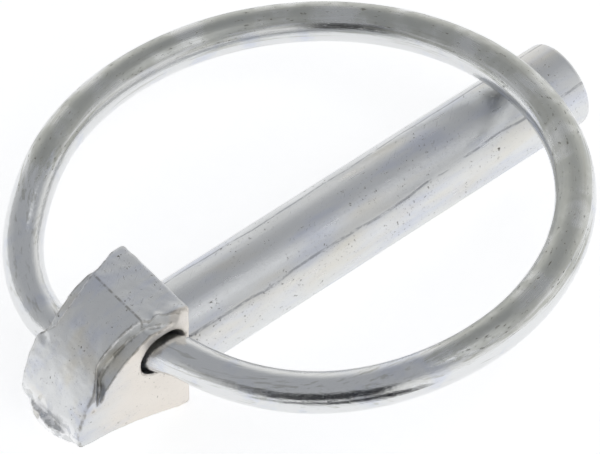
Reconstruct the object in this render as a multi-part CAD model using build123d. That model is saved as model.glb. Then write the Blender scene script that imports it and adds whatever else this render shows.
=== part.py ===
from build123d import *
import os
from math import radians, sin, sqrt

# A linch pin: a forged pin with a hooked head, and a spring ring whose two ends sit in the head.
# Millimetres. The shank runs along +X from the head's shoulder at the origin, and +Z is up.

# shank
SHANK_D = 8.0            # diameter of the round shank
SHANK_LEN = 45.3         # from the head's shoulder to the tip
TIP_BEVEL = 0.4          # broken edge round the tip

# head, seen from the side; heights are measured up from the underside of the shank
HEAD_LEN = 11.6          # from the shoulder to the thin end
SHOULDER_TOP = 12.6      # top edge above the shank
CREST_BACK = 4.2         # where the flat top turns into the long curve
CREST_TOP = 13.0         # height of that crease
BACK_DIP = 3.9           # how far the curved back falls below the crest at its shoulder
BACK_REACH = 5.1         # how far behind the crease that shoulder lies
END_TOP = 3.0            # top of the thin end
END_LOW = 2.1            # underside of the thin end
BELLY_TOP = 1.4          # underside half way along, hollowed by the forging
HEEL_LEN = 1.2           # flat that rests level with the shank
LIP_BOW = 0.7            # how far the thin end's lip bows out in the middle
LIP_THICK = 0.95         # thickness of that lip
# head, seen from above
HEAD_W = 8.9             # across the cheeks at the shoulder
HEAD_END_W = 7.8         # across the thin end
HEAD_EDGE_R = 0.35       # forged edges are slightly rounded
# the coved notch pressed along each top edge of the head
COVE_DROP = 1.25         # depth below the top
COVE_START = 1.3         # behind the shoulder
COVE_END = 9.7           # behind the shoulder
COVE_CREST_IN = 1.0      # how far it bites in from the cheek at the crest
COVE_END_IN = 1.2        # how far it bites in at its far end

# spring ring
WIRE_D = 3.5             # ring wire
RING_R = 23.05           # centre line radius of the ring's round stretch
RING_BACK = 7.7          # how far that circle would reach behind the shoulder
RING_SHIFT = -0.36       # its centre lies a little off the shank's axis
RING_GAP = 0.72          # between the closed ring and the shank below it
RING_LEAN = 8.35         # degrees: the ring lies tilted about the shank, left side low
ARC_FROM = -78.0         # round stretch, degrees from the tip side, right
ARC_TO = 113.0           # and left
RIGHT_EXIT = (0.30, -0.95, -0.03)   # the way the ring leaves the bend on the right
LEFT_EXIT = (0.16, 0.98, -0.06)      # and on the left
BEND_R = 4.5             # centre line radius of the bend outside each end of the hole
# the hole across the head is drilled on a slant, so the two ends are offset and the ring is sprung
HOLE_PLAY = 0.35         # radial room for the wire
WIRE_SHIFT = 0.2         # how far the wire lies off the hole's axis, pulled to one side
PULL = (0.8, 0.0, -1.0)  # the side of the hole that the ring is pulled to
LEG_IN = 3.0             # length of each ring end inside the head
LEG_OUT = 0.8            # straight length outside it, before the bend
RIGHT_BACK = 2.75        # hole on the right cheek, behind the shoulder
RIGHT_UP = 8.75          # and above the underside
LEFT_BACK = 5.95         # hole on the left cheek, behind the shoulder
LEFT_UP = 6.0            # and above the underside

SHANK_R = SHANK_D / 2
WIRE_R = WIRE_D / 2
HOLE_R = WIRE_R + HOLE_PLAY


def height(up):
    """Z of a height above the underside of the shank."""
    return up - SHANK_R


def cheek(back):
    """Half the head's width at a distance behind the shoulder."""
    return (HEAD_W + (HEAD_END_W - HEAD_W) * back / HEAD_LEN) / 2


def side_face():
    """The head's outline from the side, on the XZ plane."""
    heel = (-HEEL_LEN, -SHANK_R)
    foot = (0, -SHANK_R)
    brow = (0, height(SHOULDER_TOP))
    crest = (-CREST_BACK, height(CREST_TOP))
    back = (-CREST_BACK - BACK_REACH, height(CREST_TOP - BACK_DIP))
    end_top = (-HEAD_LEN, height(END_TOP))
    end_low = (-HEAD_LEN + HEAD_EDGE_R, height(END_LOW))
    belly = (-HEAD_LEN / 2, height(BELLY_TOP))
    with BuildSketch(Plane.XZ) as outline:
        with BuildLine():
            Line(heel, foot)
            Line(foot, brow)
            Line(brow, crest)
            ThreePointArc(crest, back, end_top)
            Line(end_top, end_low)
            ThreePointArc(end_low, belly, heel)
        make_face()
    return outline.sketch


def plan_face():
    """The head's outline from above: straight cheeks that draw in towards the thin end."""
    near = HEAD_W / 2
    far = cheek(HEAD_LEN + HEAD_EDGE_R)
    past = -HEAD_LEN - HEAD_EDGE_R
    return make_face(Polyline((0, -near), (0, near), (past, far), (past, -far), close=True))


def cove(side):
    """The notch pressed along one top edge: a band under the top, bounded in plan by an arc."""
    outer = HEAD_W
    start = (-COVE_START, side * cheek(COVE_START))
    crest = (-CREST_BACK, side * (cheek(CREST_BACK) - COVE_CREST_IN))
    end = (-COVE_END + COVE_END_IN, side * (cheek(COVE_END) - COVE_END_IN))
    close = (-COVE_END, side * cheek(COVE_END))
    edges = [
        ThreePointArc(start, crest, end),
        Line(end, close),
        Line(close, (-COVE_END, side * outer)),
        Line((-COVE_END, side * outer), (-COVE_START, side * outer)),
        Line((-COVE_START, side * outer), start),
    ]
    plan = extrude(Plane.XY * make_face(edges), amount=HEAD_LEN * 2, both=True)
    outline = side_face()
    band = outline - offset(outline, amount=-COVE_DROP)
    upper = Pos(-HEAD_LEN / 2, 0, height(CREST_TOP)) * Box(HEAD_LEN * 2, outer * 2, CREST_TOP)
    return plan & extrude(band, amount=HEAD_W, both=True) & upper


def lip():
    """The lip that bows out along the thin end."""
    inner = -HEAD_LEN + 2 * HEAD_EDGE_R
    half = cheek(HEAD_LEN) - HEAD_EDGE_R
    bow = ThreePointArc((inner, half), (-HEAD_LEN - LIP_BOW, 0), (inner, -half))
    face = make_face([bow, Line((inner, -half), (inner, half))])
    return Pos(0, 0, height(END_LOW)) * extrude(face, amount=LIP_THICK)


def hole_ends():
    """Where the slanted hole's axis meets the right and the left cheek."""
    right = Vector(-RIGHT_BACK, -cheek(RIGHT_BACK), height(RIGHT_UP))
    left = Vector(-LEFT_BACK, cheek(LEFT_BACK), height(LEFT_UP))
    return right, left


def forged_pin():
    """Head and shank, forged in one piece, with the slanted hole drilled across the head."""
    blank = extrude(side_face(), amount=HEAD_W, both=True)
    blank &= extrude(Plane.XY * plan_face(), amount=SHOULDER_TOP * 2, both=True)
    blank = fillet(blank.edges(), HEAD_EDGE_R)
    blank -= cove(-1)
    blank -= cove(1)
    blank += lip()
    from_start = (Align.CENTER, Align.CENTER, Align.MIN)
    shank = Plane.YZ * Cylinder(SHANK_R, SHANK_LEN, align=from_start)
    tip = shank.edges().filter_by(GeomType.CIRCLE).sort_by(Axis.X)[-1]
    shank = chamfer(tip, TIP_BEVEL)
    right, left = hole_ends()
    along = (left - right).normalized()
    drill = Plane(origin=right - along * HEAD_W, z_dir=along) * Cylinder(HOLE_R, HEAD_W * 3, align=from_start)
    return blank + shank - drill


def biarc_joint(start, start_dir, end, end_dir):
    """Where two arcs meet that leave start along start_dir and reach end along end_dir."""
    chord = end - start
    both = start_dir + end_dir
    spread = 1 - start_dir.dot(end_dir)
    lean = chord.dot(both)
    reach = (sqrt(lean**2 + 2 * spread * chord.dot(chord)) - lean) / (2 * spread)
    return (start + end + (start_dir - end_dir) * reach) * 0.5


def biarc(start, start_dir, end, end_dir):
    """Two tangent arcs from start to end."""
    joint = biarc_joint(start, start_dir, end, end_dir)
    first = TangentArc(start, joint, tangent=start_dir)
    second = TangentArc(joint, end, tangent=first % 1)
    return [first, second]


def ring_plane():
    """The tilted plane of the ring's round stretch, centred on it."""
    rise = SHANK_R + RING_GAP + WIRE_R
    return Plane(origin=(RING_R - RING_BACK, RING_SHIFT, rise)).rotated((-RING_LEAN, 0, 0))


def bend(start, start_dir, end_dir):
    """An arc of the bend's radius that turns from start_dir to end_dir."""
    turn = start_dir.get_angle(end_dir)
    middle = (start_dir + end_dir).normalized()
    return TangentArc(start, start + middle * (2 * BEND_R * sin(radians(turn / 2))), tangent=start_dir)


def ring_end(mouth, out, leave):
    """One end of the ring, from inside the head outwards: a straight leg and its bend."""
    leg = Line(mouth - out * LEG_IN, mouth + out * LEG_OUT)
    return leg, bend(leg @ 1, out, Vector(*leave).normalized())


def ring_path():
    """The ring's centre line: an end in the head, two arcs, the round stretch, two arcs, an end."""
    right, left = hole_ends()
    across = (left - right).normalized()
    pull = Vector(*PULL)
    shift = (pull - across * pull.dot(across)).normalized() * WIRE_SHIFT
    right_leg, right_bend = ring_end(right + shift, across * -1, RIGHT_EXIT)
    left_leg, left_bend = ring_end(left + shift, across, LEFT_EXIT)
    arc = ring_plane() * CenterArc((0, 0), RING_R, ARC_FROM, ARC_TO - ARC_FROM)
    into_arc = biarc(right_bend @ 1, right_bend % 1, arc @ 0, arc % 0)
    out_of_arc = biarc(arc @ 1, arc % 1, left_bend @ 1, left_bend % 1 * -1)
    return Wire([right_leg, right_bend, *into_arc, arc, *out_of_arc, left_bend, left_leg])


def spring_ring():
    """The ring: one length of round wire bent to the path, with sawn ends."""
    path = ring_path()
    section = Plane(origin=path @ 0, z_dir=path % 0) * Circle(WIRE_R)
    return sweep(section, path=path)


NODES = {"pin": forged_pin, "ring": spring_ring}

os.makedirs("parts", exist_ok=True)
for name, make in NODES.items():
    export_step(make(), f"parts/{name}.step")
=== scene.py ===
from math import cos, pi, radians, sin

import bmesh
import bpy
from mathutils import Matrix, Vector


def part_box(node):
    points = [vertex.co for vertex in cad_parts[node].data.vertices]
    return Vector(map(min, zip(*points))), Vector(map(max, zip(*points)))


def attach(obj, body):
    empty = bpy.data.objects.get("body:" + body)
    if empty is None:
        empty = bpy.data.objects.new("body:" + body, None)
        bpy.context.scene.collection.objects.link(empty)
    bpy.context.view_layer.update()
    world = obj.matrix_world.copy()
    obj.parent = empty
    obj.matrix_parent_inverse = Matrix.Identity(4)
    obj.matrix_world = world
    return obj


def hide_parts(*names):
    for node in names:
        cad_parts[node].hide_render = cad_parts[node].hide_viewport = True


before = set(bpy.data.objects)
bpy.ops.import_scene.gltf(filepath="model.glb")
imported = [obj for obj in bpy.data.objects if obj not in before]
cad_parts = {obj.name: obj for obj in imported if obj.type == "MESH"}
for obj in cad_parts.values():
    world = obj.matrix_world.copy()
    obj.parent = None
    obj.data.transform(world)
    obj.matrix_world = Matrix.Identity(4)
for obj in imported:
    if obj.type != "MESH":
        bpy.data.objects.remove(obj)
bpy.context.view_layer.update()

# A zinc-plated linch pin lying closed on a pale table: a forged pin with its spring ring.
# Metres. The shank runs along +X from the head's shoulder at the origin, and +Z is up.
MM = 0.001
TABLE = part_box("pin")[0][2]
SHANK_R = -TABLE
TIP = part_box("pin")[1][0]
HEAD_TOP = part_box("pin")[1][2]
CREASE = -4.2 * MM            # where the flat top of the head turns into its curved back
LIP_START = -11.2 * MM        # the thin end's lip lies between these two
LIP_END = -11.7 * MM
RING_CENTRE = Vector((15.35, -0.36, 6.47)) * MM    # middle of the ring's round stretch
RING_LEAN = radians(8.35)     # the ring lies tilted about the shank
RING_R = 23.05 * MM           # centre line radius
CAMERA_SIDE = radians(-40.82)    # round the pin from the -Y side
CAMERA_UP = radians(50.37)
CAMERA_ROLL = radians(1.22)
CAMERA_AWAY = 0.42
CAMERA_LENS = 294.6
LOOKED_AT = Vector((17.11, 1.83, 0)) * MM


# ---------- small helpers ----------

def linear(hex_colour):
    """An sRGB hex colour as the linear RGBA that shaders use."""
    parts = [int(hex_colour[i:i + 2], 16) / 255 for i in (1, 3, 5)]
    return [c / 12.92 if c <= 0.04045 else ((c + 0.055) / 1.055) ** 2.4 for c in parts] + [1.0]


def add(tree, kind, links=None, values=None, **settings):
    """Adds a node: settings are its attributes, values fill its sockets and links feed them."""
    node = tree.nodes.new(kind)
    for name, value in settings.items():
        setattr(node, name, value)
    for socket, value in (values or {}).items():
        node.inputs[socket].default_value = value
    for socket, source in (links or {}).items():
        tree.links.new(source, node.inputs[socket])
    return node


def noise(tree, vector, size, detail=3.0, rough=0.55):
    """Noise whose blotches are about size metres across."""
    values = {"Scale": 1 / size, "Detail": detail, "Roughness": rough}
    return add(tree, "ShaderNodeTexNoise", {"Vector": vector}, values).outputs["Fac"]


def stretch(tree, vector, scale, turn=(0, 0, 0)):
    """The vector turned and then scaled, for a pattern that is longer one way than another."""
    turned = add(tree, "ShaderNodeMapping", {"Vector": vector}, {"Rotation": turn})
    return add(tree, "ShaderNodeMapping", {"Vector": turned.outputs[0]}, {"Scale": scale}).outputs[0]


def ramp(tree, factor, low, high, low_to=0.0, high_to=1.0):
    """Spreads the factor between low and high over low_to to high_to."""
    values = {"From Min": low, "From Max": high, "To Min": low_to, "To Max": high_to}
    node = add(tree, "ShaderNodeMapRange", {"Value": factor}, values, interpolation_type="SMOOTHSTEP")
    return node.outputs["Result"]


def maths(tree, operation, first, second=None):
    """A math node on one or two sockets, where the second may be a number."""
    node = add(tree, "ShaderNodeMath", {0: first}, operation=operation)
    if isinstance(second, (int, float)):
        node.inputs[1].default_value = second
    elif second is not None:
        tree.links.new(second, node.inputs[1])
    return node.outputs[0]


def times(tree, first, *others):
    """The product of a socket and other sockets or numbers."""
    for other in others:
        first = maths(tree, "MULTIPLY", first, other)
    return first


def tint(tree, base, colour, factor):
    """The base, a hex colour or a socket, with another colour laid over it by a factor."""
    mix = add(tree, "ShaderNodeMix", {0: factor}, data_type="RGBA")
    mix.inputs[7].default_value = linear(colour)
    if isinstance(base, str):
        mix.inputs[6].default_value = linear(base)
    else:
        tree.links.new(base, mix.inputs[6])
    return mix.outputs[2]


def bump(tree, height, depth, under=None):
    """A bump of a depth in metres, on top of another one if there is one."""
    links = {"Height": height}
    if under:
        links["Normal"] = under
    return add(tree, "ShaderNodeBump", links, {"Distance": depth}).outputs[0]


def band(tree, value, middle, half, soft):
    """1 where the value is within half of the middle, falling to 0 over soft."""
    away = maths(tree, "ABSOLUTE", maths(tree, "SUBTRACT", value, middle))
    return ramp(tree, away, half + soft, half)


def towards(side, up=0.0):
    """The direction out from the pin at an angle round it, from the -Y side, and an angle up."""
    return Vector((sin(side) * cos(up), -cos(side) * cos(up), sin(up)))


# ---------- materials ----------

def metal(name, build):
    """A zinc-plated steel surface whose colour, roughness and bump come from build."""
    material = bpy.data.materials.new(name)
    material.use_nodes = True
    tree = material.node_tree
    tree.nodes.clear()
    place = add(tree, "ShaderNodeTexCoord").outputs["Object"]
    colour, roughness, normal = build(tree, place)
    links = {"Base Color": colour, "Roughness": roughness, "Normal": normal}
    shader = add(tree, "ShaderNodeBsdfPrincipled", links, {"Metallic": 1.0})
    add(tree, "ShaderNodeOutputMaterial", {"Surface": shader.outputs[0]})
    return material


def specks(tree, place, size, clear, patches):
    """Small pits and specks of dark grime inside patches; clear is the noise level under which there are
    none.
    """
    fine = noise(tree, place, size, 4.0, 0.7)
    return times(tree, ramp(tree, fine, clear, clear + 0.07), patches)


def seam_lines_and_painted_reflection(tree, place, axes, broken):
    """Two fine dark lines along the shank's upper half, a little wavy and broken: seams where the dies met,
    darkened as a painted reflection of the ring.
    """
    wander = times(tree, ramp(tree, noise(tree, place, 7 * MM, 1.0), 0, 1, -1, 1), 0.3 * MM)
    side = maths(tree, "ADD", axes["Y"], wander)
    right_line = band(tree, side, -2.95 * MM, 0.02 * MM, 0.1 * MM)
    left_line = band(tree, side, 2.15 * MM, 0.02 * MM, 0.14 * MM)
    upper_half = ramp(tree, axes["Z"], 0.6 * MM, 1.2 * MM)
    return times(tree, maths(tree, "ADD", right_line, left_line), upper_half, broken)


def soot(tree, place, axes, on_head, broken):
    """Painted shade along the head's crease and in its hollows, a darker tone on its ridges, and a painted
    shadow line down the edge at the thin end.
    """
    # painted shade along the crease
    painted_crease_shade = times(tree, band(tree, axes["X"], CREASE, 0.03 * MM, 0.12 * MM),
                      ramp(tree, axes["Z"], 7.4 * MM, 8.2 * MM), broken, 0.55)
    edge = add(tree, "ShaderNodeAttribute", attribute_name="edge").outputs["Fac"]
    # painted shade in the hollows
    painted_hollow_shade = ramp(tree, edge, 0.36, 0.15)
    ridge = times(tree, ramp(tree, edge, 0.68, 0.92), 0.7)
    patches = ramp(tree, noise(tree, place, 0.8 * MM, 4.0), 0.4, 0.6, 0.15, 0.9)
    off_lip = ramp(tree, axes["X"], LIP_END, LIP_START, 0.35, 1.0)
    hollow_shade_and_dark_ridges = times(tree, maths(tree, "MAXIMUM", painted_hollow_shade, ridge), on_head, patches, off_lip)
    # a painted shadow line down the right edge of the thin end
    near_end = ramp(tree, axes["X"], -8.8 * MM, -9.4 * MM)
    right_side = ramp(tree, axes["Y"], -3.2 * MM, -3.6 * MM)
    painted_rim_shadow = times(tree, near_end, right_side, ramp(tree, edge, 0.72, 0.86), 0.7)
    return maths(tree, "MAXIMUM", painted_crease_shade, times(tree, maths(tree, "MAXIMUM", hollow_shade_and_dark_ridges, painted_rim_shadow), 0.75))


def forged_zinc(tree, place):
    """Bright zinc plate over a forging: a satin grey with faint blue and straw clouds, orange peel
    from the scale under the plate, fine seam lines darkened as a painted reflection and long draw
    marks on the shank, dark grime in its pits, painted shade in the head's crease and hollows, a
    darker tone on its ridges, a painted shadow down the thin end's edge, a painted sheen that makes
    the right cheek paler, and bare bright chips along the thin end."""
    axes = add(tree, "ShaderNodeSeparateXYZ", {"Vector": place}).outputs
    on_head = ramp(tree, axes["X"], 0.4 * MM, -0.1 * MM)
    on_shank = ramp(tree, axes["X"], -0.1 * MM, 0.4 * MM)
    long_way = stretch(tree, place, (0.25, 1, 1))
    clouds = noise(tree, long_way, 2.2 * MM)
    straw = noise(tree, long_way, 3.1 * MM, 2.0)
    colour = tint(tree, "#E2E3E3", "#D2D6E2", ramp(tree, clouds, 0.45, 0.7, 0.0, 0.75))
    colour = tint(tree, colour, "#E2DDD0", ramp(tree, straw, 0.5, 0.72, 0.0, 0.6))
    # painted sheen: the head's right cheek is painted paler and warmer (#F2EBE2)
    painted_sheen_on_right_cheek = times(tree, on_head, ramp(tree, axes["Y"], -3.95 * MM, -4.2 * MM))
    colour = tint(tree, colour, "#F2EBE2", times(tree, painted_sheen_on_right_cheek, 0.8))

    bruised = ramp(tree, noise(tree, place, 2.6 * MM, 2.0), 0.47, 0.62, 0.1, 1.0)
    dots = specks(tree, place, 0.3 * MM, 0.61, bruised)
    colour = tint(tree, colour, "#77736A", dots)
    hair = noise(tree, stretch(tree, place, (1, 0.05, 1), (0.2, 0, 0.9)), 0.13 * MM, 3.0, 0.7)
    scratches = times(tree, ramp(tree, hair, 0.6, 0.7), ramp(tree, clouds, 0.35, 0.6, 0.2, 1.0))
    colour = tint(tree, colour, "#9A9B9D", times(tree, scratches, 0.5))

    broken = ramp(tree, noise(tree, stretch(tree, place, (0.3, 1, 1)), 0.5 * MM, 4.0, 0.7), 0.36, 0.56)
    lines = times(tree, seam_lines_and_painted_reflection(tree, place, axes, broken), on_shank)
    # 7E8087 along the shank: partly seams, and partly a painted reflection of the ring
    colour = tint(tree, colour, "#7E8087", times(tree, lines, 0.6))
    # 6F695C: painted shade in the crease and hollows, a painted shadow down the thin end's edge, and a
    #         darker tone on the ridges
    colour = tint(tree, colour, "#6F695C", soot(tree, place, axes, on_head, broken))
    chips = ramp(tree, noise(tree, place, 0.9 * MM, 3.0), 0.45, 0.53)
    colour = tint(tree, colour, "#FFFFFF", times(tree, ramp(tree, axes["X"], LIP_START, LIP_END), chips))

    rough = ramp(tree, noise(tree, long_way, 1.0 * MM), 0.3, 0.7, 0.27, 0.38)
    rough = maths(tree, "ADD", rough, times(tree, on_head, 0.12))
    rough = maths(tree, "ADD", rough, times(tree, dots, 0.25))
    along = stretch(tree, place, (0.04, 1, 1))
    draw_marks = times(tree, noise(tree, along, 0.2 * MM, 4.0, 0.65), on_shank)
    normal = bump(tree, noise(tree, place, 0.6 * MM, 4.0, 0.6), 0.014 * MM)
    normal = bump(tree, noise(tree, place, 0.14 * MM, 2.0), 0.008 * MM, normal)
    normal = bump(tree, draw_marks, 0.01 * MM, normal)
    marks = maths(tree, "ADD", dots, times(tree, maths(tree, "ADD", scratches, lines), 0.3))
    normal = bump(tree, times(tree, marks, -1.0), 0.03 * MM, normal)
    return colour, rough, normal


def drawn_zinc(tree, place):
    """Zinc plate over drawn spring wire: fine lines along the wire, and on its upper side a duller
    greenish-grey track with dark specks, partly wear and partly painted shade on the wire's top."""
    middle = add(tree, "ShaderNodeVectorMath", {0: place}, {1: RING_CENTRE}, operation="SUBTRACT").outputs[0]
    level = add(tree, "ShaderNodeMapping", {"Vector": middle}, {"Rotation": (RING_LEAN, 0, 0)}).outputs[0]
    axes = add(tree, "ShaderNodeSeparateXYZ", {"Vector": level}).outputs
    flat = add(tree, "ShaderNodeCombineXYZ", {"X": axes["X"], "Y": axes["Y"]}).outputs[0]
    reach = add(tree, "ShaderNodeVectorMath", {0: flat}, operation="LENGTH").outputs["Value"]
    around = times(tree, maths(tree, "ARCTAN2", axes["Y"], axes["X"]), RING_R)
    links = {"X": reach, "Y": axes["Z"], "Z": times(tree, around, 0.04)}
    along_wire = add(tree, "ShaderNodeCombineXYZ", links).outputs[0]
    grain = noise(tree, along_wire, 0.14 * MM, 3.0, 0.6)
    streaks = noise(tree, along_wire, 0.4 * MM, 3.0, 0.6)
    clouds = noise(tree, place, 3 * MM)
    ragged = times(tree, ramp(tree, streaks, 0.2, 0.8, -1, 1), 0.7 * MM)
    upper_side = ramp(tree, maths(tree, "ADD", axes["Z"], ragged), 0.5 * MM, 1.2 * MM)
    # partly a worn track, and partly painted shade: the whole upper side of the wire is darkened
    worn_and_shaded_top = times(tree, upper_side, ramp(tree, clouds, 0.3, 0.6, 0.35, 1.0))
    colour = tint(tree, "#E4E5E5", "#D3D7E2", ramp(tree, clouds, 0.5, 0.7, 0.0, 0.7))
    # B4B5AC over the upper side: wear with painted shade
    colour = tint(tree, colour, "#B4B5AC", times(tree, worn_and_shaded_top, 0.8))
    colour = tint(tree, colour, "#B9B9B2", times(tree, ramp(tree, streaks, 0.55, 0.68), 0.55))
    long_specks = stretch(tree, along_wire, (1, 1, 8))
    dots = specks(tree, long_specks, 0.24 * MM, 0.61, ramp(tree, worn_and_shaded_top, 0.1, 0.7, 0.1, 0.9))
    colour = tint(tree, colour, "#716E65", dots)
    rough = ramp(tree, grain, 0.3, 0.7, 0.13, 0.22)
    rough = maths(tree, "ADD", rough, times(tree, worn_and_shaded_top, 0.18))
    normal = bump(tree, noise(tree, place, 0.8 * MM), 0.01 * MM)
    normal = bump(tree, grain, 0.012 * MM, normal)
    normal = bump(tree, times(tree, dots, -1.0), 0.03 * MM, normal)
    return colour, rough, normal


# ---------- modelling helpers ----------

def only(piece):
    """Selects one object and makes it active."""
    bpy.ops.object.select_all(action="DESELECT")
    piece.select_set(True)
    bpy.context.view_layer.objects.active = piece


def apply(piece, kind, **settings):
    """Adds a modifier with its settings and applies it."""
    only(piece)
    modifier = piece.modifiers.new(kind.lower(), kind)
    for name, value in settings.items():
        setattr(modifier, name, value)
    bpy.ops.object.modifier_apply(modifier=modifier.name)


def pick(piece, chosen, kind="faces"):
    """In edit mode, selects only the faces or edges that chosen accepts."""
    mesh = bmesh.from_edit_mesh(piece.data)
    bpy.ops.mesh.select_mode(type="FACE" if kind == "faces" else "EDGE")
    bpy.ops.mesh.select_all(action="DESELECT")
    for item in getattr(mesh, kind):
        if chosen(item):
            item.select_set(True)
    mesh.select_flush_mode()
    bmesh.update_edit_mesh(piece.data)


def press(piece, place, radius, move):
    """Pushes the surface round a place, fading out over the radius; all three are in millimetres."""
    place, move = Vector(place) * MM, Vector(move) * MM
    for vertex in piece.data.vertices:
        near = 1 - (vertex.co - place).length / (radius * MM)
        if near > 0:
            vertex.co += move * (near * near * (3 - 2 * near))


# ---------- pieces ----------

def forged_head():
    """The head: the frame's own head, skinned finely, then dented and made uneven as a forging is."""
    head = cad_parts["pin"].copy()
    head.data = head.data.copy()
    head.name = "forged_pin"
    head.parent = None
    head.matrix_world = Matrix.Identity(4)
    bpy.context.collection.objects.link(head)
    only(head)
    bpy.ops.mesh.customdata_custom_splitnormals_clear()
    bpy.ops.object.mode_set(mode="EDIT")
    bpy.ops.mesh.select_all(action="SELECT")
    bpy.ops.mesh.remove_doubles(threshold=0.0005 * MM)
    bpy.ops.mesh.bisect(plane_co=(0.02 * MM, 0, 0), plane_no=(1, 0, 0), use_fill=True, clear_outer=True)
    bpy.ops.object.mode_set(mode="OBJECT")
    apply(head, "REMESH", mode="VOXEL", voxel_size=0.13 * MM, use_smooth_shade=True)
    apply(head, "SMOOTH", factor=0.5, iterations=2)
    for name, size, depth in (("dished", 3.2, 0.12), ("hammered", 1.1, 0.06), ("scaled", 0.4, 0.02)):
        clouds = bpy.data.textures.new(name, "CLOUDS")
        clouds.noise_scale = size * MM
        apply(head, "DISPLACE", texture=clouds, strength=depth * MM, mid_level=0.5, texture_coords="LOCAL")
    return head


def mark_edges(head):
    """Stores how sharply the surface bends at each point: over a half on ridges, under it in hollows."""
    mesh = bmesh.new()
    mesh.from_mesh(head.data)
    bend = [sum(e.calc_face_angle_signed(0) for e in v.link_edges) / len(v.link_edges) for v in mesh.verts]
    near = [[v.index] + [e.other_vert(v).index for e in v.link_edges] for v in mesh.verts]
    for _ in range(2):
        bend = [sum(bend[i] for i in points) / len(points) for points in near]
    mesh.free()
    stored = head.data.attributes.new("edge", "FLOAT", "POINT")
    stored.data.foreach_set("value", [min(max(0.5 + 2.0 * value, 0), 1) for value in bend])


def bruises(head):
    """The marks that the press left: turned-up lips, dents and chipped corners, each a place, a
    radius and a push in millimetres."""
    top = HEAD_TOP / MM
    turned_up = (((-1.3, -4.1, top - 0.6), 1.3, (0.1, -0.05, 0.28)),
                 ((-2.9, -3.9, top - 0.3), 1.0, (0, 0.05, 0.22)))
    dents = (((-3.6, -3.5, top - 0.2), 0.9, (0, -0.1, -0.22)),
             ((-9.0, -3.3, 3.6), 1.0, (0.3, 0.25, -0.2)),
             ((-9.9, -3.7, 2.4), 0.7, (-0.2, -0.2, 0.05)),
             ((-9.2, 3.1, 4.6), 0.8, (0.25, -0.1, -0.1)))
    chipped_lip = (((-12.2, -1.6, -1.4), 0.6, (0.2, 0, 0.1)),
                   ((-12.3, 0.9, -1.2), 0.6, (0.2, 0, -0.1)),
                   ((-11.8, 3.4, -1.0), 0.7, (0.2, -0.1, -0.1)))
    for place, radius, move in turned_up + dents + chipped_lip:
        press(head, place, radius, move)


def round_shank():
    """The shank: a turned bar from just inside the shoulder to its broken-edged tip."""
    inside = 0.2 * MM
    length = TIP + inside
    bpy.ops.object.select_all(action="DESELECT")
    bpy.ops.mesh.primitive_cylinder_add(vertices=192, radius=SHANK_R, depth=length,
                                        location=(TIP - length / 2, 0, 0), rotation=(0, pi / 2, 0))
    shank = bpy.context.object
    bpy.ops.object.transform_apply(location=True, rotation=True, scale=True)
    bpy.ops.object.mode_set(mode="EDIT")
    pick(shank, lambda e: all(v.co.x > TIP - 0.01 * MM for v in e.verts), "edges")
    bpy.ops.mesh.bevel(offset=0.45 * MM, segments=5, profile=0.6)
    pick(shank, lambda f: f.normal.x > 0.99)
    bpy.ops.mesh.inset(thickness=0.3 * MM)
    bpy.ops.object.mode_set(mode="OBJECT")
    bpy.ops.object.shade_smooth_by_angle(angle=radians(35))
    return shank


def forged_pin():
    """Head and shank, one forging."""
    head = forged_head()
    bruises(head)
    mark_edges(head)
    shank = round_shank()
    flat = shank.data.attributes.new("edge", "FLOAT", "POINT")
    flat.data.foreach_set("value", [0.5] * len(shank.data.vertices))
    bpy.ops.object.select_all(action="DESELECT")
    shank.select_set(True)
    head.select_set(True)
    bpy.context.view_layer.objects.active = head
    head.data.materials.clear()
    shank.data.materials.clear()
    bpy.ops.object.join()
    head.data.materials.append(metal("zinc_plate_on_forging", forged_zinc))
    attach(head, "pin")
    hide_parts("pin")
    return head


def spring_ring():
    """The ring keeps its own solid, with the finish of plated drawn wire."""
    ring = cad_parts["ring"]
    finish = metal("zinc_plate_on_drawn_wire", drawn_zinc)
    for place in ring.material_slots:
        place.material = finish


# ---------- room ----------

def table_top():
    """A pale table, white to the eye and in reflections, that still takes a soft shadow."""
    bpy.ops.mesh.primitive_plane_add(size=2.0, location=(0, 0, TABLE))
    table = bpy.context.object
    table.name = "table_top"
    glow_strength = 0.56
    material = bpy.data.materials.new("white_table")
    material.use_nodes = True
    tree = material.node_tree
    tree.nodes.clear()
    path = add(tree, "ShaderNodeLightPath").outputs
    seen = maths(tree, "MAXIMUM", path["Is Camera Ray"], maths(tree, "MAXIMUM", path["Is Glossy Ray"],
                                                              path["Is Transmission Ray"]))
    paint = add(tree, "ShaderNodeBsdfDiffuse", values={"Color": linear("#EFEFEF")})
    links = {"Strength": times(tree, seen, glow_strength)}
    glow = add(tree, "ShaderNodeEmission", links, {"Color": linear("#FFFFFF")})
    both = add(tree, "ShaderNodeAddShader", {0: paint.outputs[0], 1: glow.outputs[0]})
    add(tree, "ShaderNodeOutputMaterial", {"Surface": both.outputs[0]})
    table.data.materials.append(material)


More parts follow.
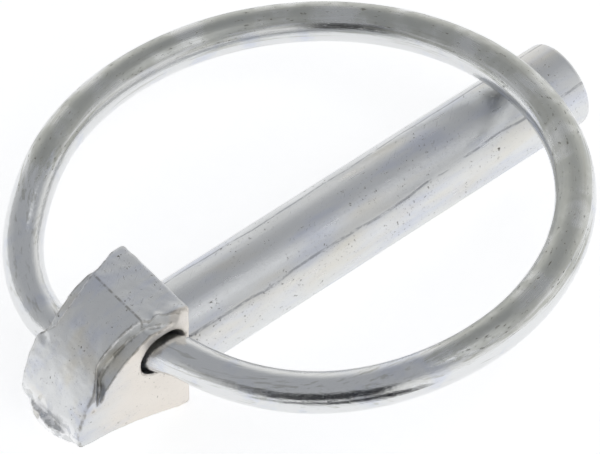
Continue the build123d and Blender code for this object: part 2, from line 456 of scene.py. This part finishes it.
def dark_mat():
    """A dark mat on the near side, which the front of the ring mirrors. The camera doesn't see it,
    only the shade under it."""
    near, depth, width = 48 * MM, 400 * MM, 50 * MM
    above = Vector((0, 0, TABLE + 0.2 * MM))
    place = LOOKED_AT + above + towards(CAMERA_SIDE) * (near + depth / 2)
    bpy.ops.mesh.primitive_plane_add(size=1.0, location=place, rotation=(0, 0, CAMERA_SIDE))
    mat = bpy.context.object
    mat.name = "dark_mat"
    mat.scale = (width, depth, 1)
    bpy.ops.object.transform_apply(location=False, rotation=False, scale=True)
    material = bpy.data.materials.new("dark_rubber_mat")
    material.use_nodes = True
    tree = material.node_tree
    tree.nodes.clear()
    direct = add(tree, "ShaderNodeLightPath").outputs["Is Camera Ray"]
    rubber = add(tree, "ShaderNodeBsdfDiffuse", values={"Color": linear("#2A2C30")})
    clear = add(tree, "ShaderNodeBsdfTransparent")
    mixed = add(tree, "ShaderNodeMixShader", {0: direct, 1: rubber.outputs[0], 2: clear.outputs[0]})
    add(tree, "ShaderNodeOutputMaterial", {"Surface": mixed.outputs[0]})
    mat.data.materials.append(material)


def soft_room():
    """An even grey ceiling, paler walls that darken on the left, and a dark gap on the viewer's side."""
    world = bpy.data.worlds.new("soft_room")
    world.use_nodes = True
    tree = world.node_tree
    tree.nodes.clear()
    way = add(tree, "ShaderNodeTexCoord").outputs["Generated"]
    up = add(tree, "ShaderNodeSeparateXYZ", {"Vector": way}).outputs["Z"]
    sideways = (cos(CAMERA_SIDE), sin(CAMERA_SIDE), 0)
    across = add(tree, "ShaderNodeVectorMath", {0: way}, {1: sideways}, operation="DOT_PRODUCT")
    across = across.outputs["Value"]
    nearer = add(tree, "ShaderNodeVectorMath", {0: way}, {1: towards(CAMERA_SIDE)}, operation="DOT_PRODUCT")
    viewer_side = ramp(tree, nearer.outputs["Value"], 0.0, 0.2)
    gap = times(tree, band(tree, up, 0.24, 0.3, 0.06), band(tree, across, -0.36, 0.2, 0.15), viewer_side)
    walls = tint(tree, "#F2F2F1", "#ABADB1", ramp(tree, up, 0.2, 0.75))
    walls = tint(tree, walls, "#A4A6AA", times(tree, ramp(tree, across, -0.4, -0.9), 0.7))
    colour = tint(tree, walls, "#202226", times(tree, gap, 0.97))
    sky = add(tree, "ShaderNodeBackground", {"Color": colour}, {"Strength": 1.0})
    add(tree, "ShaderNodeOutputWorld", {"Surface": sky.outputs[0]})
    bpy.context.scene.world = world


def lamp(name, side, up, distance, size, power):
    """A square soft lamp, at angles in degrees, that looks at the middle of the pin."""
    middle = Vector((17 * MM, 0, 0))
    light = bpy.data.lights.new(name, "AREA")
    light.size = size
    light.energy = power
    holder = bpy.data.objects.new(name, light)
    bpy.context.collection.objects.link(holder)
    back = towards(radians(side), radians(up))
    holder.location = middle + back * distance
    holder.rotation_euler = back.to_track_quat("Z", "Y").to_euler()


def viewer():
    """The camera, well back and a little turned."""
    back = towards(CAMERA_SIDE, CAMERA_UP)
    right = (-back).cross(Vector((0, 0, 1))).normalized()
    up = right.cross(-back)
    across = right * cos(CAMERA_ROLL) + up * sin(CAMERA_ROLL)
    high = up * cos(CAMERA_ROLL) - right * sin(CAMERA_ROLL)
    data = bpy.data.cameras.new("camera")
    data.sensor_width = 36
    data.lens = CAMERA_LENS
    data.clip_end = 10
    camera = bpy.data.objects.new("camera", data)
    bpy.context.collection.objects.link(camera)
    turn = Matrix((across, high, back)).transposed().to_4x4()
    camera.matrix_world = Matrix.Translation(LOOKED_AT + back * CAMERA_AWAY) @ turn
    bpy.context.scene.camera = camera


forged_pin()
spring_ring()
table_top()
dark_mat()
soft_room()
lamp("key_softbox", 20, 60, 0.9, 0.6, 0.6)
viewer()
bpy.context.scene.view_settings.view_transform = "Standard"
